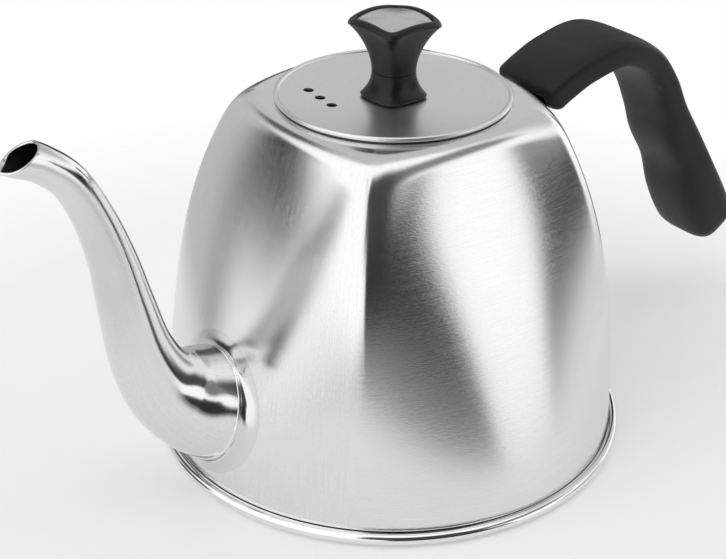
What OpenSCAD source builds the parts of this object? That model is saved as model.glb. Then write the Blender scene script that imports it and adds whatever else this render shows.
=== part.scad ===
// Gooseneck kettle: steel shell on a rolled base, curved spout, open handle and a lift-off lid.
// Millimetres. +X towards the handle, -X towards the spout, +Z up, origin under the base.

/* [Shell] */
// Outer radius of the rolled bead round the base
bead_outer_r = 75; // [70:0.5:85]
// Height of the flat deck round the mouth
deck_z = 110.8; // [105:0.2:120]
// How far the middle of each side leans in between base and deck
side_pull = 28; // [20:0.5:30]
// How far each corner ridge leans in between base and deck
corner_pull = 19.3; // [12:0.1:20]
// Thickness of the shell's sheet
wall = 0.8; // [0.6:0.1:1.2]
// Radius of the mouth's bore
mouth_r = 34.2; // [32:0.1:36]

/* [Spout] */
// Distance from the axis to the middle of the spout's joint
joint_x = 69.5; // [67:0.5:74]
// Height of the middle of the spout's joint
joint_z = 28.9; // [24:0.5:34]
// Outer radius of the spout at its joint
joint_r = 17.3; // [14:0.1:19]
// Upward tilt of the joint's axis, in degrees
joint_tilt = 19; // [10:1:25]
// Thickness of the spout's sheet
spout_wall = 0.8; // [0.6:0.1:1]
// How far the pouring lip's slant runs each way from the end of the centreline
lip_slant = 3.2; // [0:0.2:4]

/* [Lid] */
// Outer radius of the lid's rolled rim
lid_r = 35.8; // [35.2:0.1:38]
// Depth of the lid's dish, from just inside the rim to the middle
dish_depth = 1.5; // [0.5:0.1:3]
// Radius of the skirt that locates the lid in the mouth
skirt_r = 33.7; // [31:0.1:33.8]
// Depth of the skirt below the deck
skirt_drop = 7; // [4:0.5:12]
// Radius of each steam vent
vent_r = 1.6; // [1:0.1:2]
// Distance between the middles of neighbouring vents
vent_step = 6.5; // [4.5:0.1:8]

/* [Knob] */
// Height of the knob's rim above the lid
knob_h = 24.9; // [20:0.1:28]
// Half of the knob's breadth across its corners at the top, before they are softened
knob_top_r = 14.9; // [12:0.1:16]
// Turn of the knob's corners from the shell's, in degrees
knob_turn = 3; // [-10:1:10]

/* [Handle] */
// Thickness of the steel tang inside the grip
tang_t = 2.5; // [2:0.1:3]
// Width of the steel tang inside the grip
tang_w = 14; // [10:0.5:15]

/* [Hidden] */

steel = [0.78, 0.78, 0.79];
bright_steel = [0.88, 0.88, 0.89];
black_plastic = [0.06, 0.06, 0.065];

// ---- base ----
bead_r = 1.9;
bead_lift = 0.4;
bead_ring_r = bead_outer_r - bead_r;
shell_z = bead_lift + 2 * bead_r + 0.05;
shell_r = bead_ring_r + 1.1;
pan_z = 3.2;
pan_t = 0.8;
cap_r = 62;
cap_t = 0.6;

// ---- general shapes ----
function mix(a, b, u) = a + (b - a) * u;

// Point at parameter t on a smooth curve through pts, where t runs from 0 to len(pts) - 1.
function curve_at(pts, t) =
    let (n = len(pts),
         i = min(floor(t), n - 2),
         u = t - i,
         a = i > 0 ? pts[i - 1] : 2 * pts[0] - pts[1],
         b = pts[i],
         c = pts[i + 1],
         d = i + 2 < n ? pts[i + 2] : 2 * pts[n - 1] - pts[n - 2])
    (2 * b + (c - a) * u + (2 * a - 5 * b + 4 * c - d) * u * u
     + (3 * b - a - 3 * c + d) * u * u * u) / 2;

// Direction of the curve's first two coordinates at t, as a unit vector.
function heading_at(pts, t) =
    let (n = len(pts),
         p = curve_at(pts, max(t - 0.02, 0)),
         q = curve_at(pts, min(t + 0.02, n - 1)),
         v = [q[0] - p[0], q[1] - p[1]])
    v / norm(v);

// Closed surface through a list of rings with the same number of points each. Ring i joins
// ring i + 1 and the last joins the first, except after ring cap_at, where both are capped.
module skin(rings, cap_at = -1) {
    n = len(rings);
    m = len(rings[0]);
    sides = [for (i = [0 : n - 1]) if (i != cap_at) for (j = [0 : m - 1])
        let (k = (i + 1) % n, l = (j + 1) % m)
        each [[i * m + j, i * m + l, k * m + l], [i * m + j, k * m + l, k * m + j]]];
    next = (cap_at + 1) % n;
    caps = cap_at < 0 ? [] : [[for (j = [0 : m - 1]) cap_at * m + j],
                              [for (j = [m - 1 : -1 : 0]) next * m + j]];
    polyhedron(points = [for (ring = rings) each ring], faces = concat(sides, caps));
}

// Distance from the middle to a bulged square with softened corners, at angle a. Its sides
// are arcs through side_r at their middles and corner_r at the corners.
corner_softness = 26;
function bulge_r(side_r, corner_r, a, soft = corner_softness) =
    let (phi = abs((a + 45) % 90 - 45),
         shift = (corner_r * corner_r - side_r * side_r) / (2 * side_r - sqrt(2) * corner_r),
         arc_r = side_r + shift,
         near = sqrt(arc_r * arc_r - pow(shift * sin(phi), 2)) - shift * cos(phi),
         far = sqrt(arc_r * arc_r - pow(shift * cos(phi), 2)) - shift * sin(phi))
    pow(pow(near, -soft) + pow(far, -soft), -1 / soft);

// ---- shell ----
shell_steps = 72;
side_steps = 12;
round_steps = 5;
taper = 0.046;
side_power = 1.2;
corner_power = 3.2;
side_round = 4.4;
corner_round = 9;
deck_slope = 0.06;
neck_drop = 4;
rise = deck_z - 3;

// Outer radius of the shell's side at angle a and height z, moved in by t.
function side_at(a, z, t) =
    let (foot = shell_r - taper * z,
         u = z / rise)
    bulge_r(foot - side_pull * pow(u, side_power),
            foot - corner_pull * pow(u, corner_power), a) - t;
function deck_at(r, t) = deck_z - deck_slope * (r - mouth_r) - t;

// Profile of the side, shoulder and deck at angle a, as [radius, height], moved in by t.
function shell_profile(a, t) =
    let (w = pow(abs((a + 45) % 90 - 45) / 45, 3),
         reach = mix(side_round, corner_round, w),
         edge_z = deck_at(side_at(a, deck_z, t), t),
         low_z = edge_z - reach,
         low_r = side_at(a, low_z, t),
         lean = side_at(a, low_z, t) - side_at(a, low_z - 1, t),
         bend = [low_r + lean * reach, edge_z],
         end_r = max(bend[0] - 0.8 * reach, mouth_r + 2.5),
         end = [end_r, deck_at(end_r, t)])
    concat([for (i = [0 : side_steps]) let (z = mix(shell_z, low_z, i / side_steps))
                [side_at(a, z, t), z]],
           [for (i = [1 : round_steps]) let (u = i / round_steps)
                (1 - u) * (1 - u) * [low_r, low_z] + 2 * u * (1 - u) * bend + u * u * end]);

// The whole loop of the sheet at angle a: up the outside, into the mouth, back down inside.
function shell_loop(a) =
    let (inner = shell_profile(a, wall))
    concat(shell_profile(a, 0),
           [[mouth_r + 1, deck_z], [mouth_r, deck_z - 1], [mouth_r, deck_z - neck_drop],
            [mouth_r + wall, deck_z - neck_drop], [mouth_r + wall, deck_z - 1.3]],
           [for (i = [len(inner) - 1 : -1 : 0]) inner[i]]);

module body_shell() {
    loops = [for (j = [0 : shell_steps - 1]) let (a = 360 * j / shell_steps)
        [for (p = shell_loop(a)) [p[0] * cos(a), p[0] * sin(a), p[1]]]];
    color(steel)
    difference() {
        skin(loops);
        at_joint(-9) cylinder(h = 18, r = joint_r - 2.5, $fn = 64);
    }
}

module base_pan() {
    color(bright_steel)
    rotate_extrude($fn = 96)
    union() {
        translate([0, pan_z]) square([bead_ring_r - 1, pan_t]);
        translate([bead_ring_r, bead_lift + bead_r]) circle(r = bead_r, $fn = 32);
    }
}

module heat_spreader() {
    color("silver")
    translate([0, 0, cap_t + 0.05])
    cylinder(h = pan_z - cap_t - 0.1, r = cap_r - cap_t - 0.1, $fn = 96);
}

module base_cap() {
    color(steel)
    rotate_extrude($fn = 96)
    polygon([[0, 0], [cap_r - 1, 0], [cap_r, 1], [cap_r, pan_z - 0.05],
             [cap_r - cap_t, pan_z - 0.05], [cap_r - cap_t, cap_t], [0, cap_t]]);
}

// ---- spout ----
// Stations of the centreline: outward distance, height and outer radius.
spout_line = [[joint_x, joint_z, joint_r], [75, 31.6, 16], [80.3, 36.2, 13.7],
              [85.4, 43.4, 11.4], [90, 55, 9.6], [93.3, 70, 8.2], [96.4, 85, 6.9],
              [100.8, 99, 5.9], [107, 111.5, 5.4], [114.5, 118.7, 5.3], [120.5, 122, 5.4]];
spout_rings = 40;
spout_sides = 24;

// Places what follows on the joint's axis, pointing out of the shell, moved out by d.
module at_joint(d = 0) {
    translate([-joint_x, 0, joint_z]) rotate([0, joint_tilt - 90, 0]) translate([0, 0, d]) children();
}

// Direction that a ring of the spout faces at t, turning smoothly from the joint's axis to
// the centreline's own heading.
root_blend = 3.5;
function spout_heading(t) =
    let (root = [cos(joint_tilt), sin(joint_tilt)],
         u = min(t / root_blend, 1),
         h = mix(root, heading_at(spout_line, t), u * u * (3 - 2 * u)))
    h / norm(h);

// Ring of the spout at curve parameter t, with the radius reduced by thin. The last ring
// slants, so that the lower side runs on into a lip with a slight beak.
function spout_ring(t, thin) =
    let (last = len(spout_line) - 1,
         p = curve_at(spout_line, t),
         h = spout_heading(t),
         slant = pow(max(t - last + 1, 0), 2),
         r = p[2] - thin)
    [for (j = [0 : spout_sides - 1])
        let (a = 360 * j / spout_sides,
             out = -slant * (lip_slant * sin(a) - 0.9 * pow(max(-sin(a), 0), 6)),
             u = r * sin(a))
        [-(p[0] - h[1] * u + h[0] * out), r * cos(a), p[1] + h[0] * u + h[1] * out]];

module spout_tube() {
    last = len(spout_line) - 1;
    steps = [for (i = [0 : spout_rings]) last * i / spout_rings];
    color(steel)
    skin(concat([for (t = steps) spout_ring(t, 0)],
                [for (i = [spout_rings : -1 : 0]) spout_ring(steps[i], spout_wall)]));
}

// Bead of the joint. The bead's middle lies on the spout's outer radius.
ring_bead_r = 0.65;
module spout_joint_ring() {
    color(bright_steel)
    at_joint(-ring_bead_r - 0.1)
    rotate_extrude($fn = 72)
    translate([joint_r - 0.15, 0]) circle(r = ring_bead_r, $fn = 20);
}

// Collar that flares from the joint down to the shell, seated just clear of its surface.
collar_steps = 48;
collar_flare = 5;
seat_gap = 0.08;
joint_out = [-cos(joint_tilt), 0, sin(joint_tilt)];
joint_up = [sin(joint_tilt), 0, cos(joint_tilt)];

function angle_of(p) = (atan2(p[1], p[0]) + 720) % 360;
// Slides p along the joint's axis until it lies on the shell, gap above it.
function seat(p, gap, tries = 9) =
    let (over = norm([p[0], p[1]]) - side_at(angle_of(p), p[2], 0) - gap)
    tries == 0 ? p : seat(p - joint_out * over / cos(joint_tilt), gap, tries - 1);

function collar_foot(a, r) =
    let (p = [-joint_x, 0, joint_z] + r * (cos(a) * [0, 1, 0] + sin(a) * joint_up))
    seat(p, seat_gap);
function collar_top(a, r) =
    [-joint_x, 0, joint_z] - joint_out * (2 * ring_bead_r + 0.2)
    + r * (cos(a) * [0, 1, 0] + sin(a) * joint_up);

// One loop of the collar's section at angle a: out along the flare, back along its inside.
function collar_loop(a) =
    let (top = collar_top(a, joint_r),
         foot = collar_foot(a, joint_r + collar_flare),
         bend = mix(collar_foot(a, joint_r + 0.6), top, 0.25))
    concat([for (i = [0 : 4]) let (u = i / 4)
                (1 - u) * (1 - u) * top + 2 * u * (1 - u) * bend + u * u * foot],
           [collar_foot(a, joint_r + collar_flare - 2.5),
            collar_foot(a, joint_r - 0.8),
            collar_top(a, joint_r - 0.8)]);

module spout_collar() {
    color(steel)
    skin([for (j = [0 : collar_steps - 1]) collar_loop(360 * j / collar_steps)]);
}

// ---- handle ----
// Stations along the grip: distance from the axis, height, thickness and width.
grip_line = [[53.5, 99.8, 10.6, 27.6], [60, 103.4, 10.6, 28], [70, 107.4, 10.2, 28.8],
             [85, 109.6, 10, 29.4], [98, 103.6, 10, 27.4], [107, 93.5, 10.2, 25.6],
             [113, 82, 11.2, 25], [118.4, 71.5, 14, 25.8], [125.6, 60, 14.8, 26],
             [132, 47, 18.2, 27.4], [138.5, 35.5, 19, 27], [144.3, 26.5, 16, 24]];
grip_rings = 33;
grip_sides = 28;
grip_squareness = 3.2;

// Section across a planar curve at t, thin and wide as the curve's third and fourth values
// say, scaled by s, or by fixed sizes where size is given.
function bar_ring(line, t, s, size = undef) =
    let (p = curve_at(line, t),
         h = heading_at(line, t),
         half_t = s * (is_undef(size) ? p[2] : size[0]) / 2,
         half_w = s * (is_undef(size) ? p[3] : size[1]) / 2,
         e = is_undef(size) ? 2 / grip_squareness : 2 / 8)
    [for (j = [0 : grip_sides - 1])
        let (a = 360 * (j + 0.5) / grip_sides,
             u = half_t * sign(sin(a)) * pow(abs(sin(a)), e),
             v = half_w * sign(cos(a)) * pow(abs(cos(a)), e))
        [p[0] - h[1] * u, v, p[1] + h[0] * u]];

tang_start = 0.55;
tang_end = 9.6;
tang_steps = 30;
tang_stations = [for (i = [0 : tang_steps]) mix(tang_start, tang_end, i / tang_steps)];
pocket_gap = 0.25;
tang_size = [tang_t, tang_w];
pocket_size = tang_size + [2 * pocket_gap, 2 * pocket_gap];

module handle_tang() {
    color(steel)
    difference() {
        skin([for (t = tang_stations) bar_ring(grip_line, t, 1, tang_size)], tang_steps);
        for (x = handle_screw_x) at_root(x, -6) cylinder(h = 12, r = 1.7, $fn = 24);
    }
}

module handle_grip() {
    last = len(grip_line) - 1;
    ease = [0.9, 1];
    body_rings = [for (i = [0 : grip_rings])
        let (t = last * i / grip_rings,
             left = (last - t) / 0.9,
             s = i == 0 ? ease[0] : left < 1 ? sqrt(max(1 - pow(1 - left, 2), 0.06)) : ease[1])
        bar_ring(grip_line, t + (i == 1 ? -0.15 : 0), s)];
    pocket_rings = concat([bar_ring(grip_line, tang_end + 0.1, 1, pocket_size)],
                          [for (i = [tang_steps : -1 : 0])
                               bar_ring(grip_line, tang_stations[i], 1, pocket_size)],
                          [bar_ring(grip_line, 0.27, 1, pocket_size),
                           bar_ring(grip_line, 0, 1, pocket_size)]);
    color(black_plastic)
    difference() {
        skin(concat(body_rings, pocket_rings), grip_rings);
        at_root(root_from[0], -recess_h)
            translate([-8, -bracket_w / 2 - 0.3, 0]) cube([recess_l + 8, bracket_w + 0.6, recess_h]);
    }
}

// The tongue of the bracket lies under the tang, in a recess open to the root's underside.
recess_l = 21;
recess_h = 12;
handle_screw_x = [62.5, 71];
bracket_t = 2;
bracket_w = 16;
root_from = [57, 101.9];
root_to = [76, 108.9];
root_tilt = atan2(root_to[1] - root_from[1], root_to[0] - root_from[0]);
function root_z(x) = mix(root_from[1], root_to[1], (x - root_from[0]) / (root_to[0] - root_from[0]));

// Places what follows on the root of the handle at x, tilted with it and moved along its
// normal by d.
module at_root(x, d = 0) {
    translate([x, 0, root_z(x)]) rotate([0, -root_tilt, 0]) translate([0, 0, d]) children();
}

// Places what follows on the shell's back at height z, pointing out of it, moved out by d.
mount_lean = atan2(side_at(0, 80, 0) - side_at(0, 96, 0), 16);
module at_mount(z, d = 0) {
    translate([side_at(0, z, 0), 0, z]) rotate([0, 90 - mount_lean, 0]) translate([0, 0, d]) children();
}

plate_t = 1.2;
module handle_mount_plate() {
    color(steel)
    at_mount(88, seat_gap) translate([-9, -11, 0]) cube([18, 22, plate_t]);
}

module handle_bracket() {
    foot = side_at(0, 80, 0) + seat_gap + plate_t / cos(mount_lean) + 0.05;
    head = side_at(0, 94, 0) + seat_gap + plate_t / cos(mount_lean) + 0.05;
    tongue = tang_t / 2 + 0.1;
    color(steel)
    difference() {
        rotate([90, 0, 0])
        linear_extrude(bracket_w, center = true)
        polygon([[foot, 80], [foot + bracket_t, 80], [head + bracket_t + 0.5, 92.5],
                 [57.5, root_z(57.5) - tongue - bracket_t],
                 [75, root_z(75) - tongue - bracket_t], [75, root_z(75) - tongue],
                 [56, root_z(56) - tongue], [head, 95.5], [head, 94]]);
        for (x = handle_screw_x) at_root(x, -8) cylinder(h = 10, r = 2.2, $fn = 32);
    }
}

screw_seat = tang_t / 2 + 0.1 + bracket_t;
module handle_screws() {
    color(bright_steel)
    for (x = handle_screw_x)
        at_root(x, 0) {
            translate([0, 0, -screw_seat - 1]) cylinder(h = screw_seat + 1 + 1.3, r = 1.65, $fn = 24);
            translate([0, 0, -screw_seat - 2.6])
            difference() {
                cylinder(h = 1.8, r = 3, $fn = 32);
                for (turn = [0, 90])
                    rotate([0, 0, turn]) translate([-1.6, -0.35, -1]) cube([3.2, 0.7, 1.9]);
            }
        }
}

module handle_washers() {
    color("silver")
    for (x = handle_screw_x)
        at_root(x, -screw_seat - 0.75)
        difference() {
            cylinder(h = 0.7, r = 3.3, $fn = 32);
            translate([0, 0, -1]) cylinder(h = 3, r = 1.75, $fn = 32);
        }
}

// ---- lid ----
lid_gap = 0.3;
lid_t = 0.7;
rim_r = 0.8;
lid_z = deck_z + lid_gap;
rim_z = lid_z + rim_r;
plate_step = 0.3;
// Height of the plate's top at radius r.
function lid_top(r) = rim_z + plate_step - dish_depth * (1 - pow(r / lid_r, 2));
vent_middle = [-19.3, 10.6];
vent_heading = -93;
screw_r = 2;
plate_steps = 14;

module lid_shell() {
    edge = lid_r - rim_r;
    low = [for (i = [0 : plate_steps])
        let (r = mix(screw_r + 0.3, edge + 0.3, i / plate_steps)) [r, lid_top(r) - lid_t]];
    top = [for (i = [plate_steps : -1 : 0]) let (p = low[i]) [p[0], p[1] + lid_t]];
    color(bright_steel)
    difference() {
        rotate_extrude($fn = 96)
        union() {
            polygon(concat(low, top));
            translate([edge, rim_z]) circle(r = rim_r, $fn = 24);
        }
        for (i = [-1 : 1])
            translate([vent_middle[0], vent_middle[1], rim_z - 5])
            rotate([0, 0, vent_heading])
            translate([i * vent_step, 0, 0]) cylinder(h = 8, r = vent_r, $fn = 32);
    }
}

module lid_skirt() {
    skirt_top = lid_top(skirt_r) - lid_t - 0.05;
    skirt_low = deck_z - skirt_drop;
    color(steel)
    difference() {
        translate([0, 0, skirt_low]) cylinder(h = skirt_top - skirt_low, r = skirt_r, $fn = 96);
        translate([0, 0, skirt_low - 1]) cylinder(h = 20, r = skirt_r - 0.7, $fn = 96);
        for (a = [0 : 60 : 300])
            rotate([0, 0, a]) translate([skirt_r - 3, 0, skirt_low + 3.5])
            rotate([0, 90, 0]) cylinder(h = 6, r = 1.2, $fn = 24);
    }
}

// ---- knob ----
knob_z = lid_top(10.5) + 0.08;
waist_z = knob_z + 8.2;
waist_side = 6.3;
waist_corner = 7.2;
foot_side = 8.6;
foot_corner = 10.8;
arch = 0.018;
rim_top_z = knob_z + knob_h;
inset_z = rim_top_z - 2;
insert_r = 3.2;
insert_h = 8;
knob_sides = 40;
knob_softness = 9;
top_ratio = 0.755;

// Ring of the knob at height z, with the given breadths to side and corner. Its corners
// drop below its sides where bend is set.
function knob_ring(z, side, corner, bend = 0) =
    [for (j = [0 : knob_sides - 1])
        let (a = 360 * j / knob_sides,
             r = bulge_r(side, corner, a, knob_softness),
             b = a + knob_turn)
        [r * cos(b), r * sin(b), z - bend * (r * r - side * side)]];

module knob_base() {
    steps = 9;
    color(black_plastic)
    difference() {
        skin(concat([knob_ring(knob_z, foot_side - 0.4, foot_corner - 0.5)],
                    [for (i = [0 : steps]) let (u = i / steps, s = pow(1 - u, 2.2))
                        knob_ring(mix(knob_z + 0.8, waist_z, u),
                                  mix(waist_side, foot_side, s),
                                  mix(waist_corner, foot_corner, s))]),
             steps + 1);
        translate([0, 0, knob_z - 1]) cylinder(h = 12, r = screw_r + 0.25, $fn = 32);
    }
}

module knob_grip() {
    steps = 10;
    side = knob_top_r * top_ratio;
    color(black_plastic)
    difference() {
        skin(concat([for (i = [0 : steps]) let (u = i / steps, s = pow(u, 1.8))
                        knob_ring(mix(waist_z + 0.05, rim_top_z - 1.4, u),
                                  mix(waist_side, side, s),
                                  mix(waist_corner, knob_top_r, s), arch * s)],
                    [knob_ring(rim_top_z - 0.4, side - 0.5, knob_top_r - 0.6, arch),
                     knob_ring(rim_top_z, side - 1.4, knob_top_r - 1.7, arch)]),
             steps + 2);
        translate([0, 0, inset_z - 0.05]) inset_shape(4, 0.15);
        translate([0, 0, waist_z - 1]) cylinder(h = insert_h + 1.3, r = insert_r, $fn = 32);
        translate([0, 0, waist_z - 1]) cylinder(h = insert_h + 3.5, r = screw_r + 0.25, $fn = 32);
    }
}

// Outline of the inset plate, h tall and grown by g.
module inset_shape(h, g) {
    side = knob_top_r * top_ratio - 2.3 + g;
    linear_extrude(h)
    polygon([for (j = [0 : 71])
        let (a = 5 * j, r = bulge_r(side, knob_top_r - 2.9 + g, a, knob_softness))
        [r * cos(a + knob_turn), r * sin(a + knob_turn)]]);
}

module knob_inset() {
    color(bright_steel)
    translate([0, 0, inset_z]) inset_shape(0.7, 0);
}

module knob_insert() {
    color("gold")
    translate([0, 0, waist_z + 0.1])
    difference() {
        cylinder(h = insert_h - 0.1, r = insert_r - 0.05, $fn = 32);
        translate([0, 0, -1]) cylinder(h = insert_h + 2, r = screw_r + 0.05, $fn = 32);
    }
}

washer_t = 0.8;
washer_z = lid_top(2) - lid_t - washer_t - 0.06;
module knob_washer() {
    color("silver")
    translate([0, 0, washer_z])
    difference() {
        cylinder(h = washer_t, r = 5, $fn = 32);
        translate([0, 0, -1]) cylinder(h = 3, r = screw_r + 0.2, $fn = 32);
    }
}

module knob_screw() {
    head_h = 2.2;
    color(bright_steel)
    translate([0, 0, washer_z - 0.05 - head_h])
    difference() {
        union() {
            cylinder(h = head_h, r = 3.8, $fn = 32);
            cylinder(h = waist_z + insert_h + 1 - washer_z + head_h, r = screw_r, $fn = 32);
        }
        for (turn = [0, 90])
            rotate([0, 0, turn]) translate([-2.2, -0.45, -1]) cube([4.4, 0.9, 2.2]);
    }
}

body_shell();
base_pan();
heat_spreader();
base_cap();
spout_collar();
spout_joint_ring();
spout_tube();
handle_mount_plate();
handle_bracket();
handle_tang();
handle_grip();
handle_screws();
handle_washers();
lid_shell();
lid_skirt();
knob_washer();
knob_screw();
knob_insert();
knob_base();
knob_grip();
knob_inset();
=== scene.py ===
"""Gooseneck kettle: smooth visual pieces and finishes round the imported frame.

Lengths are millimetres until a mesh is made. +X runs to the handle, -X to the spout, +Z is up.
"""
import math

import bmesh
import bpy
import numpy as np
from mathutils import Matrix, Vector


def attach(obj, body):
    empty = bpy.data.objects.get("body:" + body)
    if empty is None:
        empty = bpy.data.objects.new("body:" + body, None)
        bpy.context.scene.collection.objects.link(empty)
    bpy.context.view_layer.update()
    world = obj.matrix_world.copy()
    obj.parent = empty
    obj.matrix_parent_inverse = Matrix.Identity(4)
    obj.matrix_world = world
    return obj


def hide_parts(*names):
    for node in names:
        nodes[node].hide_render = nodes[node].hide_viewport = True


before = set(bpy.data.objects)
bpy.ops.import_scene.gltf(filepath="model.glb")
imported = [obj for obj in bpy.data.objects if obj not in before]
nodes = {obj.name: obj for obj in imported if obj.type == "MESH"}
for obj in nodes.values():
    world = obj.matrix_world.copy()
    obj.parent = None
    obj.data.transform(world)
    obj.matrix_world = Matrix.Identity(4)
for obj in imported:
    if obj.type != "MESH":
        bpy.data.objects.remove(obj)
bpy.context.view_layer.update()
MM = 0.001


# ---------------------------------------------------------------- curves and meshes
def mix(a, b, u):
    return a + (b - a) * u


def curve_at(points, t):
    """Point at t on the smooth curve through points, where t runs from 0 to len(points) - 1."""
    pts = np.asarray(points, float)
    n = len(pts)
    i = min(int(t), n - 2)
    u = t - i
    a = pts[i - 1] if i > 0 else 2 * pts[0] - pts[1]
    b, c = pts[i], pts[i + 1]
    d = pts[i + 2] if i + 2 < n else 2 * pts[-1] - pts[-2]
    return (2 * b + (c - a) * u + (2 * a - 5 * b + 4 * c - d) * u * u
            + (3 * b - a - 3 * c + d) * u ** 3) / 2


def heading_at(points, t):
    """Direction of the curve at t, as a unit vector in its first two coordinates."""
    last = len(points) - 1
    step = curve_at(points, min(t + 0.02, last)) - curve_at(points, max(t - 0.02, 0))
    return step[:2] / np.linalg.norm(step[:2])


def lengths(points):
    """Running length along a list of points."""
    steps = np.linalg.norm(np.diff(np.asarray(points, float), axis=0), axis=1)
    return np.concatenate([[0], np.cumsum(steps)])


def new_object(name, verts, faces, uvs=None, sharp=35):
    """Smooth shaded mesh object, with edges steeper than sharp degrees kept crisp."""
    mesh = bpy.data.meshes.new(name)
    mesh.from_pydata((np.asarray(verts, float) * MM).tolist(), [], faces)
    if uvs is not None:
        layer = mesh.uv_layers.new(name="grain")
        layer.data.foreach_set("uv", np.asarray(uvs, float).ravel())
    bm = bmesh.new()
    bm.from_mesh(mesh)
    bmesh.ops.recalc_face_normals(bm, faces=bm.faces)
    bm.to_mesh(mesh)
    bm.free()
    mesh.polygons.foreach_set("use_smooth", [True] * len(mesh.polygons))
    mesh.set_sharp_from_angle(angle=math.radians(sharp))
    obj = bpy.data.objects.new(name, mesh)
    bpy.context.scene.collection.objects.link(obj)
    return obj


def skin(name, rings, u, v, loop=False, caps=False, turned=None, sharp=35):
    """Surface through rings of points. Columns always close, and rings close too if loop.
    u has one value more than a ring has points; v has one per ring, and one more for a loop.
    Faces in columns where turned is true take their grain the other way."""
    grid = np.asarray(rings, float)
    n, m = grid.shape[:2]
    i, j = np.meshgrid(np.arange(n if loop else n - 1), np.arange(m), indexing="ij")
    i, j = i.ravel(), j.ravel()
    below, above = i * m, ((i + 1) % n) * m
    nxt = (j + 1) % m
    quads = np.stack([below + j, below + nxt, above + nxt, above + j], 1)
    u, v = np.asarray(u, float), np.asarray(v, float)
    if v.ndim == 1:
        v = np.repeat(v[:, None], m + 1, 1)
    column = np.stack([j, j + 1, j + 1, j], 1)
    row = np.stack([i, i, i + 1, i + 1], 1)
    uv = np.stack([u[column], v[row, column]], 2)
    if turned is not None:
        uv[turned[j]] = uv[turned[j]][:, :, ::-1]
    faces = quads.tolist()
    uvs = uv.reshape(-1, 2)
    if caps:
        for first, order in ((0, range(m - 1, -1, -1)), ((n - 1) * m, range(m))):
            face = [first + k for k in order]
            faces.append(face)
            uvs = np.concatenate([uvs, grid.reshape(-1, 3)[face][:, :2]])
    return new_object(name, grid.reshape(-1, 3), faces, uvs, sharp)


def revolve(name, profile, steps=192, sharp=35):
    """Solid of revolution round Z from a closed profile of [radius, height]."""
    profile = np.asarray(profile, float)
    turn = np.linspace(0, 2 * np.pi, steps, endpoint=False)
    rings = [np.stack([r * np.cos(turn), r * np.sin(turn), np.full(steps, z)], 1) for r, z in profile]
    around = np.linspace(0, 2 * np.pi, steps + 1) * profile[:, 0].max()
    along = lengths(np.concatenate([profile, profile[:1]]))
    return skin(name, rings, around, along, loop=True, sharp=sharp)


def arc(cx, cy, r, start, end, steps):
    """Points on a circle from start to end degrees."""
    turn = np.radians(np.linspace(start, end, steps + 1))
    return [[cx + r * math.cos(a), cy + r * math.sin(a)] for a in turn]


def cylinder(name, at, along, length, radius, sides=64):
    """Closed cylinder on the axis through at, length long and centred there."""
    along = Vector(along).normalized()
    side = along.orthogonal().normalized()
    other = along.cross(side)
    verts = []
    for d in (-length / 2, length / 2):
        for k in range(sides):
            a = 2 * math.pi * k / sides
            p = Vector(at) + along * d + (side * math.cos(a) + other * math.sin(a)) * radius
            verts.append(list(p))
    faces = [[k, (k + 1) % sides, sides + (k + 1) % sides, sides + k] for k in range(sides)]
    faces += [list(range(sides - 1, -1, -1)), list(range(sides, 2 * sides))]
    return new_object(name, verts, faces)


def cut(obj, *tools):
    """Cuts the tools out of obj and removes them."""
    for tool in tools:
        change = obj.modifiers.new("cut", "BOOLEAN")
        change.object = tool
        change.operation = "DIFFERENCE"
        change.solver = "EXACT"
    view = bpy.context.evaluated_depsgraph_get()
    mesh = bpy.data.meshes.new_from_object(obj.evaluated_get(view))
    obj.modifiers.clear()
    old = obj.data
    obj.data = mesh
    bpy.data.meshes.remove(old)
    for tool in tools:
        bpy.data.objects.remove(tool)
    mesh.set_sharp_from_angle(angle=math.radians(35))
    return obj


def place(obj, body, slot, finish, *stands_for):
    """Gives obj its finish, and rides it on body in place of the named nodes. slot is not used."""
    obj.data.materials.clear()
    obj.data.materials.append(finish)
    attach(obj, body)
    if stands_for:
        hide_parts(*stands_for)
    return obj


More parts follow.
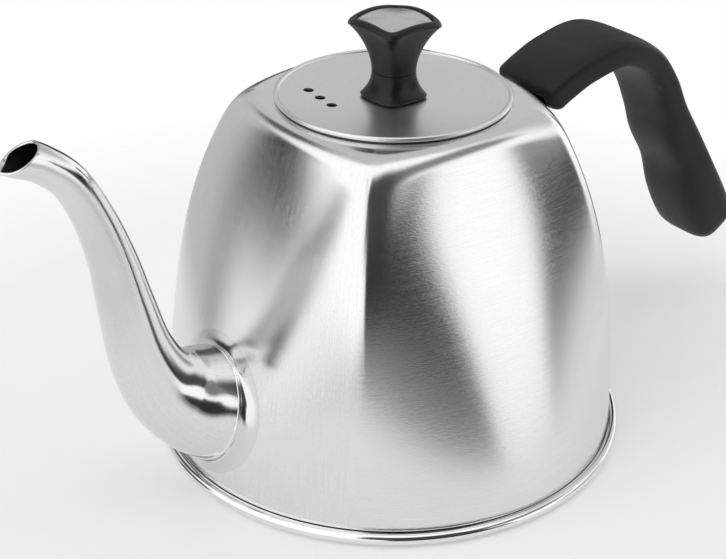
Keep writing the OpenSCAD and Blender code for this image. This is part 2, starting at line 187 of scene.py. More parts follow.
# ---------------------------------------------------------------- finishes
class Finish:
    """Node-building helper round one Principled material."""

    def __init__(self, name, colour, roughness, metallic=0.0, **sockets):
        self.material = bpy.data.materials.new(name)
        self.material.use_nodes = True
        self.tree = self.material.node_tree
        self.shader = self.tree.nodes["Principled BSDF"]
        self.shader.inputs["Base Color"].default_value = (*colour, 1)
        self.shader.inputs["Roughness"].default_value = roughness
        self.shader.inputs["Metallic"].default_value = metallic
        for key, value in sockets.items():
            self.shader.inputs[key.replace("_", " ")].default_value = value

    def node(self, kind, **settings):
        made = self.tree.nodes.new(kind)
        for key, value in settings.items():
            setattr(made, key, value)
        return made

    def link(self, source, target):
        self.tree.links.new(source, target)

    def noise(self, scale, detail=3.0, roughness=0.55, source="UV"):
        """Noise scaled apart on each axis of the grain map, in mm, or of other coordinates, in m."""
        coordinates = self.node("ShaderNodeTexCoord")
        mapping = self.node("ShaderNodeMapping")
        mapping.inputs["Scale"].default_value = scale
        made = self.node("ShaderNodeTexNoise")
        made.inputs["Scale"].default_value = 1.0
        made.inputs["Detail"].default_value = detail
        made.inputs["Roughness"].default_value = roughness
        self.link(coordinates.outputs[source], mapping.inputs["Vector"])
        self.link(mapping.outputs["Vector"], made.inputs["Vector"])
        return made.outputs["Fac"]

    def ramp(self, source, low, high, start=0.3, end=0.7):
        """Runs from low to high as source runs from start to end."""
        made = self.node("ShaderNodeMapRange")
        made.clamp = True
        for key, value in (("From Min", start), ("From Max", end), ("To Min", low), ("To Max", high)):
            made.inputs[key].default_value = value
        self.link(source, made.inputs["Value"])
        return made.outputs["Result"]

    def maths(self, operation, a, b):
        made = self.node("ShaderNodeMath", operation=operation)
        for socket, value in zip(made.inputs, (a, b)):
            if isinstance(value, (int, float)):
                socket.default_value = value
            else:
                self.link(value, socket)
        return made.outputs["Value"]

    def tint(self, amount, low, high):
        """Mixes the base colour from low to high by amount."""
        made = self.node("ShaderNodeMix", data_type="RGBA")
        factor = next(s for s in made.inputs if s.name == "Factor" and s.type == "VALUE")
        first, second = [s for s in made.inputs if s.type == "RGBA"]
        first.default_value = (*low, 1)
        second.default_value = (*high, 1)
        mixed = next(s for s in made.outputs if s.type == "RGBA")
        self.link(amount, factor)
        self.link(mixed, self.shader.inputs["Base Color"])

    def bump(self, heights, distance):
        """heights are (value, share) pairs, distance the height in metres of a full share."""
        total = None
        for value, share in heights:
            part = self.maths("MULTIPLY", value, share)
            total = part if total is None else self.maths("ADD", total, part)
        made = self.node("ShaderNodeBump")
        made.inputs["Strength"].default_value = 1.0
        made.inputs["Distance"].default_value = distance
        self.link(total, made.inputs["Height"])
        self.link(made.outputs["Normal"], self.shader.inputs["Normal"])

    def grain_tangent(self):
        """Lines the highlights up with the grain map."""
        tangent = self.node("ShaderNodeTangent", direction_type="UV_MAP", uv_map="grain")
        self.link(tangent.outputs["Tangent"], self.shader.inputs["Tangent"])


def brushed(name, shade, rough, depth, spread, coarse=1.0):
    """Metal brushed along the grain map's first axis. rough is (low, high) and depth the
    height of the scratches in metres."""
    f = Finish(name, (shade,) * 3, rough[0], 1.0, Anisotropic=spread, Anisotropic_Rotation=0.25)
    fine = f.noise((0.8 * coarse, 4.6 * coarse, 1), 2.0, 0.7)
    streak = f.noise((0.07 * coarse, 2.2 * coarse, 1), 3.0)
    cloud = f.noise((22, 22, 22), 2.0, source="Object")
    both = f.maths("ADD", f.maths("MULTIPLY", fine, 0.65), f.maths("MULTIPLY", streak, 0.35))
    f.link(f.ramp(both, rough[0], rough[1], 0.36, 0.64), f.shader.inputs["Roughness"])
    mottled = f.maths("ADD", f.maths("MULTIPLY", both, 0.85), f.maths("MULTIPLY", cloud, 0.15))
    f.tint(f.ramp(mottled, 0, 1, 0.38, 0.62), (shade * 0.88, shade * 0.88, shade * 0.885),
           (shade, shade, shade))
    f.bump([(fine, 1.0), (streak, 0.12)], depth)
    f.grain_tangent()
    return f.material


def polished(name, shade, rough):
    """Bright metal with a little haze and the faintest turning lines."""
    f = Finish(name, (shade,) * 3, rough, 1.0)
    haze = f.noise((60, 60, 60), 3.0, source="Object")
    lines = f.noise((0.05, 3.0, 1), 2.0)
    f.link(f.ramp(haze, rough * 0.75, rough * 1.4), f.shader.inputs["Roughness"])
    f.tint(f.ramp(lines, 0, 1), (shade * 0.94,) * 3, (shade,) * 3)
    f.bump([(lines, 1.0)], 0.000004)
    return f.material


def moulded(name, shade, rough, grain, depth, edge):
    """Black moulded plastic with a fine pebble grain and faintly paler edges."""
    f = Finish(name, (shade,) * 3, rough, 0.0, Specular_IOR_Level=0.32)
    pebble = f.noise((grain, grain, grain), 2.0, source="Object")
    blotch = f.noise((70, 70, 70), 3.0, source="Object")
    geometry = f.node("ShaderNodeNewGeometry")
    edges = f.ramp(geometry.outputs["Pointiness"], 0, 1, 0.51, 0.60)
    worn = f.maths("MULTIPLY", edges, f.ramp(blotch, 0.3, 1.0))
    f.tint(worn, (shade, shade, shade * 1.03), (edge, edge, edge * 1.02))
    f.link(f.ramp(blotch, rough * 0.88, rough * 1.12), f.shader.inputs["Roughness"])
    f.bump([(pebble, 1.0)], depth)
    return f.material


shell_steel = brushed("shell_brushed", 0.84, (0.14, 0.21), 0.000015, 0.5)
lid_steel = brushed("lid_satin", 0.86, (0.31, 0.36), 0.000002, 0.3)
spout_steel = brushed("spout_satin", 0.80, (0.10, 0.15), 0.000002, 0.0)
plain_steel = brushed("mill_steel", 0.62, (0.30, 0.42), 0.000008, 0.2, coarse=0.6)
inset_steel = brushed("inset_brushed", 0.74, (0.24, 0.33), 0.000008, 0.5, coarse=1.4)
bright_steel = polished("polished_steel", 0.86, 0.10)
collar_steel = polished("collar_steel", 0.74, 0.14)
aluminium = brushed("cast_aluminium", 0.70, (0.38, 0.5), 0.00001, 0.0, coarse=0.5)
brass = polished("brass", 0.60, 0.25)
grip_plastic = moulded("grip_soft_black", 0.010, 0.50, 2600, 0.000018, 0.03)
knob_plastic = moulded("knob_satin_black", 0.008, 0.34, 3400, 0.000006, 0.025)

# ---------------------------------------------------------------- shell
BEAD_R = 1.9
BEAD_RING_R = 73.1
BEAD_Z = 2.3
SHELL_Z = 4.25
SHELL_R = 74.2
DECK_Z = 110.8
DECK_SLOPE = 0.06
MOUTH_R = 34.2
MOUTH_DEPTH = 3.6
HEM_R = 0.4
WALL = 0.8

# The sides draw in from the foot by a taper, and by a pull that grows with a power of the height.
RISE = DECK_Z - 3
TAPER = 0.046
SIDE_PULL, SIDE_POWER = 28, 1.2
CORNER_PULL, CORNER_POWER = 19.3, 3.2
SIDE_ROUND, CORNER_ROUND = 4.4, 9
SIDE_STEPS, ROUND_STEPS, DECK_STEPS = 70, 26, 6


def bulge_r(side_r, corner_r, a, soft=26.0):
    """Distance from the middle to a bulged square with softened corners, at a degrees."""
    phi = np.radians(np.abs((a + 45) % 90 - 45))
    shift = (corner_r ** 2 - side_r ** 2) / (2 * side_r - math.sqrt(2) * corner_r)
    arc_r = side_r + shift
    near = np.sqrt(arc_r ** 2 - (shift * np.sin(phi)) ** 2) - shift * np.cos(phi)
    far = np.sqrt(arc_r ** 2 - (shift * np.cos(phi)) ** 2) - shift * np.sin(phi)
    return (near ** -soft + far ** -soft) ** (-1 / soft)


def side_at(a, z, t):
    """Radius of the side at a degrees and height z, t inside the outer face."""
    foot = SHELL_R - TAPER * z
    u = z / RISE
    side_r = foot - SIDE_PULL * u ** SIDE_POWER
    corner_r = foot - CORNER_PULL * u ** CORNER_POWER
    return bulge_r(side_r, corner_r, a) - t


def deck_at(r, t):
    """Height of the deck at radius r, t below its top face."""
    return DECK_Z - DECK_SLOPE * (r - MOUTH_R) - t


def shell_profile(a, t, side_steps, round_steps):
    """Rings of (radius, height) up the side, over the shoulder and onto the deck."""
    reach = mix(SIDE_ROUND, CORNER_ROUND, (np.abs((a + 45) % 90 - 45) / 45) ** 3)
    low_z = deck_at(side_at(a, DECK_Z, t), t) - reach
    low_r = side_at(a, low_z, t)
    bend_r = low_r + (low_r - side_at(a, low_z - 1, t)) * reach
    bend_z = low_z + reach
    end_r = np.maximum(bend_r - 0.8 * reach, MOUTH_R + 2.5)
    end_z = deck_at(end_r, t)
    rings = []
    for u in np.linspace(0, 1, side_steps + 1):
        z = mix(SHELL_Z, low_z, u)
        rings.append((side_at(a, z, t), z))
    for u in np.linspace(0, 1, round_steps + 1)[1:]:
        p, q, s = (1 - u) ** 2, 2 * u * (1 - u), u ** 2
        rings.append((p * low_r + q * bend_r + s * end_r, p * low_z + q * bend_z + s * end_z))
    return rings


def corner_angles(steps):
    """Angles round the shell, closer together at the corners, in degrees."""
    s = np.linspace(-1, 1, steps, endpoint=False)
    quarter = 45 * (0.3 * s + 0.7 * np.sign(s) * (1 - (1 - np.abs(s)) ** 2))
    return np.concatenate([quarter + 90 * k for k in range(4)])


# The sheet is one closed loop: up the outside, over the deck, round the mouth's hem and back inside.
a = corner_angles(110)
rings = shell_profile(a, 0, SIDE_STEPS, ROUND_STEPS)
edge = rings[-1]
for u in np.linspace(0, 1, DECK_STEPS + 1)[1:]:
    rings.append((mix(edge[0], MOUTH_R + 1, u), mix(edge[1], DECK_Z, u)))
turn = [*arc(MOUTH_R + 1, DECK_Z - 1, 1, 90, 180, 6)[1:], [MOUTH_R, DECK_Z - MOUTH_DEPTH],
        *arc(MOUTH_R + HEM_R, DECK_Z - MOUTH_DEPTH, HEM_R, 180, 360, 6)[1:],
        [MOUTH_R + WALL, DECK_Z - 1.3]]
rings += [(np.full(len(a), r), np.full(len(a), z)) for r, z in turn]
rings += shell_profile(a, WALL, 24, 10)[::-1]
grid = [np.stack([r * np.cos(np.radians(a)), r * np.sin(np.radians(a)), z * np.ones(len(a))], 1)
        for r, z in rings]

# The grain map goes by height up the sides, and by length along the section past them.
points = np.array([[r * np.ones(len(a)), z * np.ones(len(a))] for r, z in rings])
points = np.concatenate([points, points[:1]])
steps = np.linalg.norm(np.diff(points, axis=0), axis=1)
along = np.concatenate([np.zeros((1, len(a))), np.cumsum(steps, 0)])
along[SIDE_STEPS + 1:] += points[SIDE_STEPS, 1] - along[SIDE_STEPS]
along[:SIDE_STEPS + 1] = points[:SIDE_STEPS + 1, 1]
along = np.concatenate([along, along[:, :1]], 1)
around = np.radians(np.append(a, a[0] + 360)) * 60
face_a = (a + np.append(a[1:], a[0] + 360)) / 2
turned = np.abs(np.cos(np.radians(face_a))) > np.abs(np.sin(np.radians(face_a)))
shell = skin("shell", grid, around, along, loop=True, turned=turned, sharp=50)

# The spout's joint: its middle, its radius, and its axis, which rises outwards by TILT.
JOINT = Vector((-69.5, 0, 28.9))
JOINT_R = 17.3
JOINT_HOLE_R = JOINT_R - 2.5
TILT = math.radians(19)
OUT = Vector((-math.cos(TILT), 0, math.sin(TILT)))
UP = Vector((math.sin(TILT), 0, math.cos(TILT)))
cut(shell, cylinder("shell_cut", JOINT, OUT, 18, JOINT_HOLE_R, 96))
place(shell, "kettle", "shell_steel", shell_steel, "body_shell")

# Turned profiles start just off the axis, so that no two points of a ring meet.
bead = [[0.02, 3.2], [71.43, 3.2], *arc(BEAD_RING_R, BEAD_Z, BEAD_R, 151.7, 476.5, 40), [0.02, 4.0]]
place(revolve("rolled_base", bead, 256, 50), "kettle", "bright_steel", bright_steel, "base_pan")
cap = [[0.02, 0], [20, 0], [61, 0], *arc(61, 1, 1, -90, 0, 6), [62, 3.15], [61.4, 3.15], [61.4, 1.1],
       *arc(60.9, 1.1, 0.5, 0, -90, 4)[1:], [0.02, 0.6]]
place(revolve("base_cover", cap, 192, 40), "kettle", "plain_steel", plain_steel, "base_cap")

# ---------------------------------------------------------------- spout
# Distance out from the axis, height and radius at each station of the spout.
SPOUT = [[69.5, 28.9, 17.3], [75, 31.6, 16], [80.3, 36.2, 13.7], [85.4, 43.4, 11.4], [90, 55, 9.6],
         [93.3, 70, 8.2], [96.4, 85, 6.9], [100.8, 99, 5.9], [107, 111.5, 5.4], [114.5, 118.7, 5.3],
         [120.5, 122, 5.4]]
SPOUT_SIDES = 96
SPOUT_LIP_R = 0.4
ROOT_BLEND = 3.5
LIP_SLANT, LIP_PEAK = 3.2, 0.9


def spout_ring(t, thin, push=0.0):
    """Ring of the spout at t, with the radius less thin, moved on by push. Its first rings stay
    square to the joint, and the last ones slant towards the lip."""
    last = len(SPOUT) - 1
    p = curve_at(SPOUT, t)
    blend = min(t / ROOT_BLEND, 1)
    ease = blend * blend * (3 - 2 * blend)
    h = mix(np.array([math.cos(TILT), math.sin(TILT)]), heading_at(SPOUT, t), ease)
    h = h / np.linalg.norm(h)
    slant = max(t - last + 1, 0) ** 2
    turn = np.linspace(0, 2 * np.pi, SPOUT_SIDES, endpoint=False)
    out = push - slant * (LIP_SLANT * np.sin(turn) - LIP_PEAK * np.maximum(-np.sin(turn), 0) ** 6)
    u = (p[2] - thin) * np.sin(turn)
    return np.stack([-(p[0] - h[1] * u + h[0] * out), (p[2] - thin) * np.cos(turn),
                     p[1] + h[0] * u + h[1] * out], 1)


last = len(SPOUT) - 1
steps = np.linspace(0, last, 220)
grid = [spout_ring(t, 0) for t in steps]
for k in np.radians(range(20, 180, 20)):
    grid.append(spout_ring(last, SPOUT_LIP_R * (1 - math.cos(k)), 0.25 * math.sin(k)))
inside = steps[::-2]
grid += [spout_ring(t, WALL) for t in inside]
along = lengths([curve_at(SPOUT, t)[:2] for t in steps])
v = np.concatenate([along, along[-1] + np.arange(1, 9) * 0.2,
                    along[-1] + 2 + np.arange(len(inside) + 1)])
spout = skin("spout", grid, np.linspace(0, 60, SPOUT_SIDES + 1), v, loop=True,
             turned=np.ones(SPOUT_SIDES, bool))
place(spout, "kettle", "spout_steel", spout_steel, "spout_tube")


COLLAR_FLARE = 4.5
COLLAR_WALL = 0.8
JOINT_SIDES = 144


def on_joint(angle, r, d):
    """Point at angle, in radians, round the joint's axis, r from it and d out along it."""
    side = Vector((0, 1, 0)) * math.cos(angle) + UP * math.sin(angle)
    return JOINT + side * r + OUT * d


def on_shell(p, gap):
    """Slides p along the joint's axis until it lies gap above the shell."""
    for _ in range(12):
        over = math.hypot(p.x, p.y) - side_at(math.degrees(math.atan2(p.y, p.x)), p.z, 0) - gap
        p = p - OUT * (over / math.cos(TILT))
    return p


def collar_loop(angle):
    """Section of the collar at angle: from the joint down its flare to the shell, and back inside."""
    top = on_joint(angle, JOINT_R, -1.0)
    ground = on_shell(on_joint(angle, JOINT_R, 0), 0)
    depth = (top - ground).dot(OUT)
    outer = []
    for u in np.linspace(0, 1, 25):
        r = JOINT_R + COLLAR_FLARE * u ** 1.5
        outer.append(on_shell(on_joint(angle, r, 0), 0.02) + OUT * depth * (1 - u) ** 2.4)
    inner = [on_shell(on_joint(angle, JOINT_R + 2.5, 0), -0.1),
             on_shell(on_joint(angle, JOINT_R - COLLAR_WALL, 0), 0.0),
             on_joint(angle, JOINT_R - COLLAR_WALL, -1.0)]
    return [list(p) for p in outer + inner]


joint_angles = [2 * math.pi * k / JOINT_SIDES for k in range(JOINT_SIDES)]
grid = np.array([collar_loop(angle) for angle in joint_angles]).transpose(1, 0, 2)
collar = skin("spout_collar_flare", grid, np.linspace(0, 110, JOINT_SIDES + 1),
              np.arange(len(grid) + 1) * 0.6, loop=True)
place(collar, "kettle", "spout_steel", collar_steel, "spout_collar")


def joint_bead():
    """Two fine beads side by side round the joint."""
    profile = [*arc(-0.1, -0.3, 0.42, -150, 60, 10), *arc(-0.1, 0.3, 0.42, -60, 150, 10)]
    rings = [[list(on_joint(angle, JOINT_R + r, d - 0.55)) for angle in joint_angles]
             for r, d in profile]
    return skin("spout_joint_bead", rings, np.linspace(0, 110, JOINT_SIDES + 1),
                np.arange(len(rings) + 1) * 0.1, loop=True)


place(joint_bead(), "kettle", "bright_steel", bright_steel, "spout_joint_ring")

# ---------------------------------------------------------------- handle
# Distance out from the axis, height, thickness and width at each station of the grip.
GRIP = [[53.5, 99.8, 10.6, 27.6], [60, 103.4, 10.6, 28], [70, 107.4, 10.2, 28.8], [85, 109.6, 10, 29.4],
        [98, 103.6, 10, 27.4], [107, 93.5, 10.2, 25.6], [113, 82, 11.2, 25], [118.4, 71.5, 14, 25.8],
        [125.6, 60, 14.8, 26], [132, 47, 18.2, 27.4], [138.5, 35.5, 19, 27], [144.3, 26.5, 16, 24]]
GRIP_SIDES = 96
ROOT_EDGE_R = 2.4


def grip_ring(t, inset=0.0, s=1.0):
    """Rounded rectangular section of the grip at t, less inset all round and scaled by s."""
    p = curve_at(GRIP, t)
    h = heading_at(GRIP, t)
    turn = 2 * np.pi * (np.arange(GRIP_SIDES) + 0.5) / GRIP_SIDES
    power = 2 / mix(4.6, 3.4, min(t / (len(GRIP) - 1), 1))
    u = (s * p[2] / 2 - inset) * np.sign(np.sin(turn)) * np.abs(np.sin(turn)) ** power
    w = (s * p[3] / 2 - inset) * np.sign(np.cos(turn)) * np.abs(np.cos(turn)) ** power
    return np.stack([p[0] - h[1] * u, w, p[1] + h[0] * u], 1)


last = len(GRIP) - 1
grid = []
for k in np.radians(range(0, 91, 10)):
    grid.append(grip_ring(0.36 * (1 - math.cos(k)), ROOT_EDGE_R * (1 - math.sin(k))))
grid += [grip_ring(t) for t in np.linspace(0.42, last - 0.9, 170)]
for k in np.radians(np.linspace(3, 88, 26)):
    grid.append(grip_ring(last - 0.9 * (1 - math.sin(k)), 0, math.cos(k) ** 0.9))
v = lengths([g.mean(0) for g in grid])
grip = skin("grip", grid, np.linspace(0, 70, GRIP_SIDES + 1), v, caps=True,
            turned=np.ones(GRIP_SIDES, bool), sharp=40)

# The slot under the grip's root, where the bracket enters.
root_tilt = math.atan2(7, 19)
along_root = Vector((math.cos(root_tilt), 0, math.sin(root_tilt)))
off_root = Vector((-math.sin(root_tilt), 0, math.cos(root_tilt)))
start = Vector((57, 0, 101.9)) - off_root * 12
corners = [start + along_root * x + Vector((0, y, 0)) + off_root * z
           for x in (-8, 21) for y in (-8.3, 8.3) for z in (-2, 12)]
box_faces = [[0, 1, 3, 2], [4, 6, 7, 5], [0, 4, 5, 1], [2, 3, 7, 6], [0, 2, 6, 4], [1, 5, 7, 3]]
cut(grip, new_object("grip_cut", [list(c) for c in corners], box_faces))
place(grip, "kettle", "grip_plastic", grip_plastic, "handle_grip")

# ---------------------------------------------------------------- lid
LID_R = 35.8
LID_SHEET = 0.7
RIM_R = 0.8
RIM_Z = DECK_Z + 1.1
DISH_DEPTH = 1.5
VENT_R, VENT_STEP = 1.6, 6.5
VENT_MIDDLE = (-19.3, 10.6)
VENT_HEADING = math.radians(-93)
SKIRT_R, SKIRT_SHEET, SKIRT_DEPTH = 33.7, 0.7, 7
PORT_R, PORTS = 1.2, 6


def lid_top(r):
    """Height of the shallow dish at radius r."""
    return RIM_Z + 0.3 - DISH_DEPTH * (1 - (r / LID_R) ** 2)


radii = np.linspace(2.3, LID_R - RIM_R - 0.75, 40)
lid_profile = [[r, lid_top(r) - LID_SHEET] for r in radii]
lid_profile += arc(LID_R - RIM_R, RIM_Z, RIM_R, 200, 500, 40)
lid_profile += [[r, lid_top(r)] for r in radii[::-1]]
lid = revolve("lid_plate", lid_profile, 288, 40)
holes = []
vent_row = Vector((math.cos(VENT_HEADING), math.sin(VENT_HEADING), 0))
for k in (-1, 0, 1):
    at = Vector((*VENT_MIDDLE, RIM_Z)) + vent_row * VENT_STEP * k
    holes.append(cylinder("vent_cut", at, (0, 0, 1), 8, VENT_R, 64))
cut(lid, *holes)
place(lid, "lid", "lid_steel", lid_steel, "lid_shell")

skirt_top = lid_top(SKIRT_R) - LID_SHEET - 0.05
skirt_low = DECK_Z - SKIRT_DEPTH
skirt_in = SKIRT_R - SKIRT_SHEET
skirt_profile = [[SKIRT_R, skirt_low + 0.15], [SKIRT_R, skirt_top], [skirt_in, skirt_top],
                 [skirt_in, skirt_low + 0.15],
                 *arc(SKIRT_R - SKIRT_SHEET / 2, skirt_low + 0.2, 0.2, 180, 360, 4)]
skirt = revolve("lid_collar", skirt_profile, 192, 40)
holes = []
for k in range(PORTS):
    angle = 2 * math.pi * k / PORTS
    outward = Vector((math.cos(angle), math.sin(angle), 0))
    at = outward * (SKIRT_R - 0.3) + Vector((0, 0, skirt_low + SKIRT_DEPTH / 2))
    holes.append(cylinder("port_cut", at, outward, 6, PORT_R, 32))
cut(skirt, *holes)
place(skirt, "lid", "plain_steel", plain_steel, "lid_skirt")

# ---------------------------------------------------------------- knob
# Sections of the knob are softened squares, given by their reach at a side and at a corner.
KNOB_Z = lid_top(10.5) + 0.08
WAIST_Z = KNOB_Z + 8.2
KNOB_TOP = KNOB_Z + 24.9
KNOB_SOFTNESS = 9.0
KNOB_HEADING = 3
KNOB_SIDES = 160
FOOT_SIDE, FOOT_CORNER = 8.6, 10.8
WAIST_SIDE, WAIST_CORNER = 6.3, 7.2
TOP_CORNER = 14.9
TOP_SIDE = TOP_CORNER * 0.755
SEAM_DEPTH = 0.2
ARCH = 0.018
INSET_DEPTH = 2
knob_a = np.linspace(0, 360, KNOB_SIDES, endpoint=False)


def knob_ring(z, side, corner, bend=0.0):
    """Softened square ring whose corners drop below its sides where bend is set."""
    r = bulge_r(side, corner, knob_a, KNOB_SOFTNESS)
    b = np.radians(knob_a + KNOB_HEADING)
    return np.stack([r * np.cos(b), r * np.sin(b), z - bend * (r * r - side * side)], 1)


def knob_piece(name, sections):
    """Closed solid through sections of (height, side, corner, bend)."""
    grid = [knob_ring(*section) for section in sections]
    v = lengths([[section[0], section[2]] for section in sections])
    return skin(name, grid, np.linspace(0, 70, KNOB_SIDES + 1), v, caps=True)


sections = [(KNOB_Z, FOOT_SIDE - 0.9, FOOT_CORNER - 1), (KNOB_Z + 0.15, FOOT_SIDE - 0.4, FOOT_CORNER - 0.5),
            (KNOB_Z + 0.45, FOOT_SIDE - 0.1, FOOT_CORNER - 0.1)]
for u in np.linspace(0, 1, 30):
    s = (1 - u) ** 2.2
    sections.append((mix(KNOB_Z + 0.8, WAIST_Z - 0.15, u), mix(WAIST_SIDE, FOOT_SIDE, s),
                     mix(WAIST_CORNER, FOOT_CORNER, s)))
sections.append((WAIST_Z, WAIST_SIDE - SEAM_DEPTH, WAIST_CORNER - SEAM_DEPTH))
place(knob_piece("knob_foot", sections), "lid", "knob_plastic", knob_plastic, "knob_base")

sections = [(WAIST_Z + 0.05, WAIST_SIDE - SEAM_DEPTH, WAIST_CORNER - SEAM_DEPTH)]
for u in np.linspace(0, 1, 48):
    s = u ** 1.8
    sections.append((mix(WAIST_Z + 0.2, KNOB_TOP - 1.5, u), mix(WAIST_SIDE, TOP_SIDE, s),
                     mix(WAIST_CORNER, TOP_CORNER, s), ARCH * s))
for k in np.radians(range(15, 91, 15)):
    c = 1.4 * (1 - math.cos(k))
    z = KNOB_TOP - 1.5 * (1 - math.sin(k))
    sections.append((z, TOP_SIDE - c, TOP_CORNER - c * 1.2, ARCH))
side, corner = TOP_SIDE - 2.3, TOP_CORNER - 2.9
sections += [(KNOB_TOP - 0.12, side + 0.35, corner + 0.35, ARCH),
             (KNOB_TOP - 0.45, side + 0.17, corner + 0.17, ARCH),
             (KNOB_TOP - INSET_DEPTH - 0.05, side + 0.15, corner + 0.15)]
place(knob_piece("knob_head", sections), "lid", "knob_plastic", knob_plastic, "knob_grip")

top = KNOB_TOP - 0.55
sections = [(KNOB_TOP - INSET_DEPTH, side, corner), (top - 0.15, side, corner, ARCH),
            (top - 0.04, side - 0.08, corner - 0.08, ARCH), (top, side - 0.25, corner - 0.25, ARCH)]
for u in np.linspace(0.94, 0.03, 24):
    sections.append((top + 0.35 * (1 - u * u), side * u, corner * u, ARCH))
inset = knob_piece("knob_inset_plate", sections)
place(inset, "lid", "bright_steel", inset_steel, "knob_inset")

# The plate's grain runs straight across it.
straight = inset.data.uv_layers["grain"].data
for loop in inset.data.loops:
    co = inset.data.vertices[loop.vertex_index].co
    straight[loop.index].uv = (co.x / MM, co.y / MM)

# ---------------------------------------------------------------- parts kept from the frame
for name, finish in (("handle_mount_plate", plain_steel), ("handle_bracket", plain_steel),
                     ("handle_tang", plain_steel), ("handle_screws", bright_steel),
                     ("handle_washers", plain_steel), ("heat_spreader", aluminium),
                     ("knob_washer", plain_steel), ("knob_screw", bright_steel),
                     ("knob_insert", brass)):
    kept = nodes[name]
    for kept_slot in kept.material_slots:
        kept_slot.material = finish
    if name in ("handle_mount_plate", "handle_bracket", "handle_screws", "knob_screw"):
        soft = kept.modifiers.new("eased_edges", "BEVEL")
        soft.width = 0.00025
        soft.segments = 2
        soft.limit_method = "ANGLE"
        soft.angle_limit = math.radians(40)

# ---------------------------------------------------------------- stage, light and camera
FLOOR = 500
floor_corners = [[-FLOOR, -FLOOR, 0], [FLOOR, -FLOOR, 0], [FLOOR, FLOOR, 0], [-FLOOR, FLOOR, 0]]
floor = new_object("floor", floor_corners, [[0, 1, 2, 3]])
paper = Finish("floor_white", (0.86, 0.86, 0.86), 0.9, Emission_Color=(1, 1, 1, 1), Emission_Strength=0.22)
floor.data.materials.append(paper.material)

# The paper fades out with distance, and from below it isn't there.
see_through = paper.node("ShaderNodeBsdfTransparent")
choose = paper.node("ShaderNodeMixShader")
facing = paper.node("ShaderNodeNewGeometry")
spot = paper.node("ShaderNodeTexCoord")
reach = paper.node("ShaderNodeVectorMath", operation="LENGTH")
paper.link(spot.outputs["Object"], reach.inputs[0])
gone = paper.ramp(reach.outputs["Value"], 0, 1, 0.16, 0.26)
paper.link(paper.maths("MAXIMUM", gone, facing.outputs["Backfacing"]), choose.inputs[0])
paper.link(paper.shader.outputs["BSDF"], choose.inputs[1])
paper.link(see_through.outputs["BSDF"], choose.inputs[2])
paper.link(choose.outputs["Shader"], paper.tree.nodes["Material Output"].inputs["Surface"])


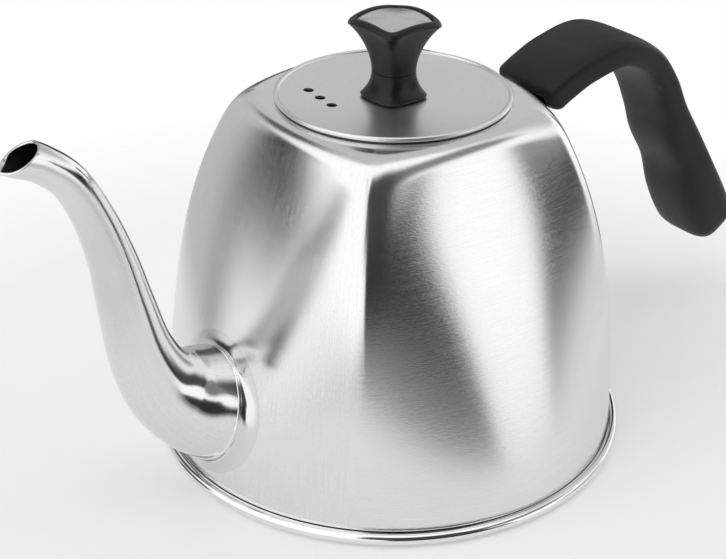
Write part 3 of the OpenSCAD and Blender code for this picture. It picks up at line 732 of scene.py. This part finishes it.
class Studio:
    """A bright room with soft grey walls and dark cards, given by direction. Azimuths are from
    +X, anticlockwise, and elevations above the horizon, in degrees."""

    def __init__(self):
        self.world = bpy.data.worlds.new("studio")
        bpy.context.scene.world = self.world
        self.world.use_nodes = True
        self.tree = self.world.node_tree
        direction = self.tree.nodes.new("ShaderNodeTexCoord")
        split = self.tree.nodes.new("ShaderNodeSeparateXYZ")
        self.tree.links.new(direction.outputs["Generated"], split.inputs[0])
        x, y, z = split.outputs
        self.azimuth = self.maths("MULTIPLY", self.maths("ARCTAN2", y, x), 180 / math.pi)
        self.height = self.maths("MULTIPLY", self.maths("ARCSINE", z), 180 / math.pi)
        self.level = 1.0

    def maths(self, operation, *values):
        made = self.tree.nodes.new("ShaderNodeMath")
        made.operation = operation
        for socket, value in zip(made.inputs, values):
            if isinstance(value, (int, float)):
                socket.default_value = value
            else:
                self.tree.links.new(value, socket)
        return made.outputs["Value"]

    def fade(self, source, start, end, low, high):
        """Eases from low to high as source runs from start to end."""
        made = self.tree.nodes.new("ShaderNodeMapRange")
        made.interpolation_type = "SMOOTHSTEP"
        for key, value in (("From Min", start), ("From Max", end), ("To Min", low), ("To Max", high)):
            made.inputs[key].default_value = value
        self.tree.links.new(source, made.inputs["Value"])
        return made.outputs["Result"]

    def zone(self, level, azimuth, half, soft, low, high, soft_low, soft_high):
        """Moves the brightness to level within half of azimuth and between the elevations low and
        high. Each edge is as soft as soft, soft_low and soft_high say."""
        turn = self.maths("WRAP", self.maths("SUBTRACT", self.azimuth, azimuth), 180, -180)
        off = self.maths("ABSOLUTE", turn)
        weight = self.fade(off, half - soft / 2, half + soft / 2, 1, 0)
        above = self.fade(self.height, low - soft_low / 2, low + soft_low / 2, 0, 1)
        below = self.fade(self.height, high - soft_high / 2, high + soft_high / 2, 1, 0)
        weight = self.maths("MULTIPLY", weight, above)
        weight = self.maths("MULTIPLY", weight, below)
        keep = self.maths("MULTIPLY", self.level, self.maths("SUBTRACT", 1, weight))
        self.level = self.maths("ADD", keep, self.maths("MULTIPLY", weight, level))

    def finish(self):
        """Seen directly, the room is plain white."""
        links = self.tree.links
        lit = self.tree.nodes["Background"]
        path = self.tree.nodes.new("ShaderNodeLightPath")
        seen = self.tree.nodes.new("ShaderNodeBackground")
        choice = self.tree.nodes.new("ShaderNodeMixShader")
        seen.inputs["Color"].default_value = (1, 1, 1, 1)
        links.new(self.level, lit.inputs["Color"])
        links.new(path.outputs["Is Camera Ray"], choice.inputs[0])
        links.new(lit.outputs[0], choice.inputs[1])
        links.new(seen.outputs[0], choice.inputs[2])
        links.new(choice.outputs[0], self.tree.nodes["World Output"].inputs["Surface"])


# Level, azimuth, half width and its softness, low and high elevation, and the softness of each.
# Later ones lie over earlier ones.
ZONES = [
    (0.62, 52, 70, 40, 16, 90, 10, 10),
    (0.60, 95, 30, 20, -25, 22, 16, 12),
    (0.36, 122, 5, 4, -25, 2, 8, 6),
    (0.03, 52.5, 20, 20, -10, 13, 8, 6),
    (0.30, 257, 36, 24, -18, -7, 12, 6),
    (0.25, 302, 32, 10, 26, 52, 8, 12),
    (0.02, 262, 29.5, 4, -7.5, 3, 8, 2),
    (0.02, 262, 28, 4, 2.5, 9, 1, 3),
    (0.03, 260, 28, 4, 8, 17, 1, 3),
    (0.06, 250, 30, 6, 15.5, 60, 2, 16),
    (0.03, 332, 14.5, 4, -9, 8, 8, 6),
    (0.02, 134, 11.5, 5, -4, 20, 3, 8),
    (0.06, 106, 15, 10, 27, 52, 8, 10),
]
studio = Studio()
studio.level = studio.fade(studio.height, -22, 0, 0.66, 1.25)
for zone in ZONES:
    studio.zone(*zone)
studio.finish()

camera = bpy.data.objects.new("camera", bpy.data.cameras.new("camera"))
bpy.context.scene.collection.objects.link(camera)
bpy.context.scene.camera = camera
camera.data.sensor_width = 36
camera.data.lens = 80.05
camera.data.shift_x = -0.0026
camera.data.clip_start, camera.data.clip_end = 0.01, 20

# The camera's axes in the world, then a slight roll about its line of sight.
right = Vector((0.8039, -0.5948, 0)).normalized()
back = Vector((-0.5220, -0.7055, 0.4795)).normalized()
up = back.cross(right)
roll = math.radians(0.49)
rolled_right = right * math.cos(roll) + up * math.sin(roll)
rolled_up = up * math.cos(roll) - right * math.sin(roll)
facing_kettle = Matrix((rolled_right, rolled_up, back)).transposed().to_4x4()
camera.matrix_world = Matrix.Translation(Vector((-273.5, -356.1, 293.6)) * MM) @ facing_kettle

bpy.context.scene.view_settings.view_transform = "Standard"
